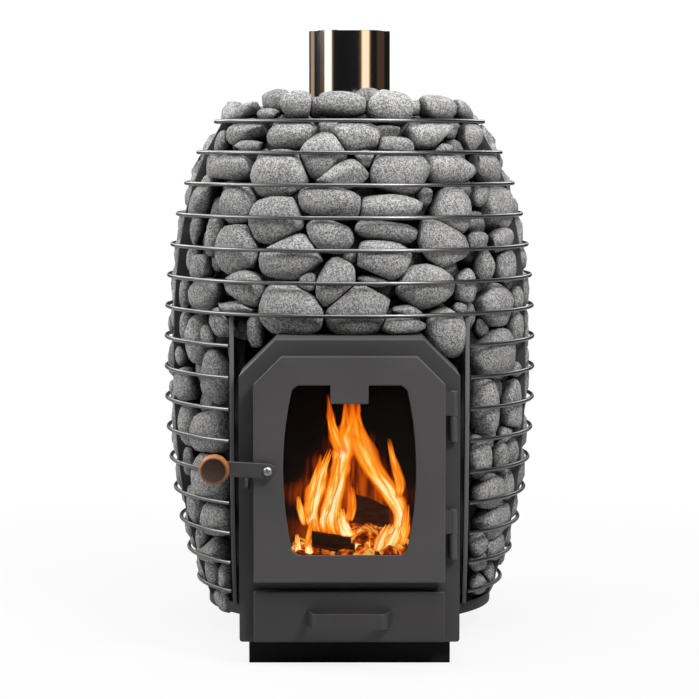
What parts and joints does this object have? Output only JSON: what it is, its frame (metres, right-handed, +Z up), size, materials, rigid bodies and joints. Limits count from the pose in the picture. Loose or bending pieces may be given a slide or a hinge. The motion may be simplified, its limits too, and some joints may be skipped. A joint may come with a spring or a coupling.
{
  "type": "sauna_stove",
  "caption": "Wood-burning sauna stove: egg-shaped basket of steel hoops full of stones round a firebox with a windowed door, ash drawer, latch and flue",
  "frame": {"origin": "on the floor, on the common axis of the hoop basket and the flue pipe", "axes": "+Z up along the flue, -Y is the front with the door, +X is the hinge side, to the right as seen from the front"},
  "size_m": [0.5308, 0.6613, 0.845],
  "materials": {
    "hoop_steel": "drawn round rod, satin grey",
    "rib_steel": "dark satin flat bar and sheet",
    "body_steel": "heat-proof dark grey coating, satin",
    "door_steel": "heat-proof dark grey coating, satin",
    "plinth_black": "matt black coating",
    "flue_steel": "polished stainless steel",
    "bright_steel": "plain zinc-plated steel",
    "cast_iron": "raw, sooty",
    "rope_seal": "woven glass rope",
    "door_glass": "clear heat-proof glass",
    "knob_wood": "oiled turned hardwood",
    "sauna_stone": "rough speckled grey stone"
  },
  "bodies": {
    "stove": {"hoop_01": "hoop_steel", "hoop_02": "hoop_steel", "hoop_03": "hoop_steel", "hoop_04": "hoop_steel", "hoop_05": "hoop_steel", "hoop_06": "hoop_steel", "hoop_07": "hoop_steel", "hoop_08": "hoop_steel", "hoop_09": "hoop_steel", "hoop_10": "hoop_steel", "hoop_11": "hoop_steel", "hoop_12": "hoop_steel", "hoop_13": "hoop_steel", "hoop_14": "hoop_steel", "hoop_15": "hoop_steel", "hoop_16": "hoop_steel", "rib_front_left": "rib_steel", "rib_front_right": "rib_steel", "rib_rear_left": "rib_steel", "rib_rear_right": "rib_steel", "post_left": "rib_steel", "post_right": "rib_steel", "base_pan": "rib_steel", "firebox_shell": "body_steel", "firebox_back": "body_steel", "hearth_plate": "cast_iron", "fire_grate": "cast_iron", "front_frame": "body_steel", "plinth": "plinth_black", "flue_collar": "body_steel", "flue_pipe": "flue_steel", "hinge_upper_frame_half": "body_steel", "hinge_lower_frame_half": "body_steel", "latch_keeper": "body_steel", "drawer_runner_left": "body_steel", "drawer_runner_right": "body_steel", "stones_lower_left": "sauna_stone", "stones_lower_right": "sauna_stone", "stones_lower_rear": "sauna_stone", "stones_upper_front_left": "sauna_stone", "stones_upper_front_right": "sauna_stone", "stones_upper_right": "sauna_stone", "stones_upper_rear": "sauna_stone", "stones_upper_left": "sauna_stone"},
    "door": {"door_panel": "door_steel", "door_seal": "rope_seal", "glass_gasket": "rope_seal", "door_glass": "door_glass", "glass_clip_left": "bright_steel", "glass_clip_right": "bright_steel", "hinge_upper_door_half": "door_steel", "hinge_lower_door_half": "door_steel", "latch_screw": "bright_steel", "latch_bush": "bright_steel"},
    "latch": {"latch_lever": "door_steel", "latch_knob": "knob_wood"},
    "ash_drawer": {"drawer_front": "door_steel", "drawer_tray": "body_steel", "drawer_handle": "door_steel"}
  },
  "joints": [
    {"name": "door_swing", "type": "hinge", "parent": "stove", "child": "door", "pos_m": [0.1357, -0.3358, 0.25], "axis": [0, 0, 1], "range_deg": [0, 120]},
    {"name": "latch_lift", "type": "hinge", "parent": "door", "child": "latch", "pos_m": [-0.1057, -0.365, 0.26225], "axis": [0, 1, 0], "range_deg": [-6, 45]},
    {"name": "drawer_slide", "type": "slide", "parent": "stove", "child": "ash_drawer", "axis": [0, -1, 0], "range_m": [0, 0.28]}
  ]
}
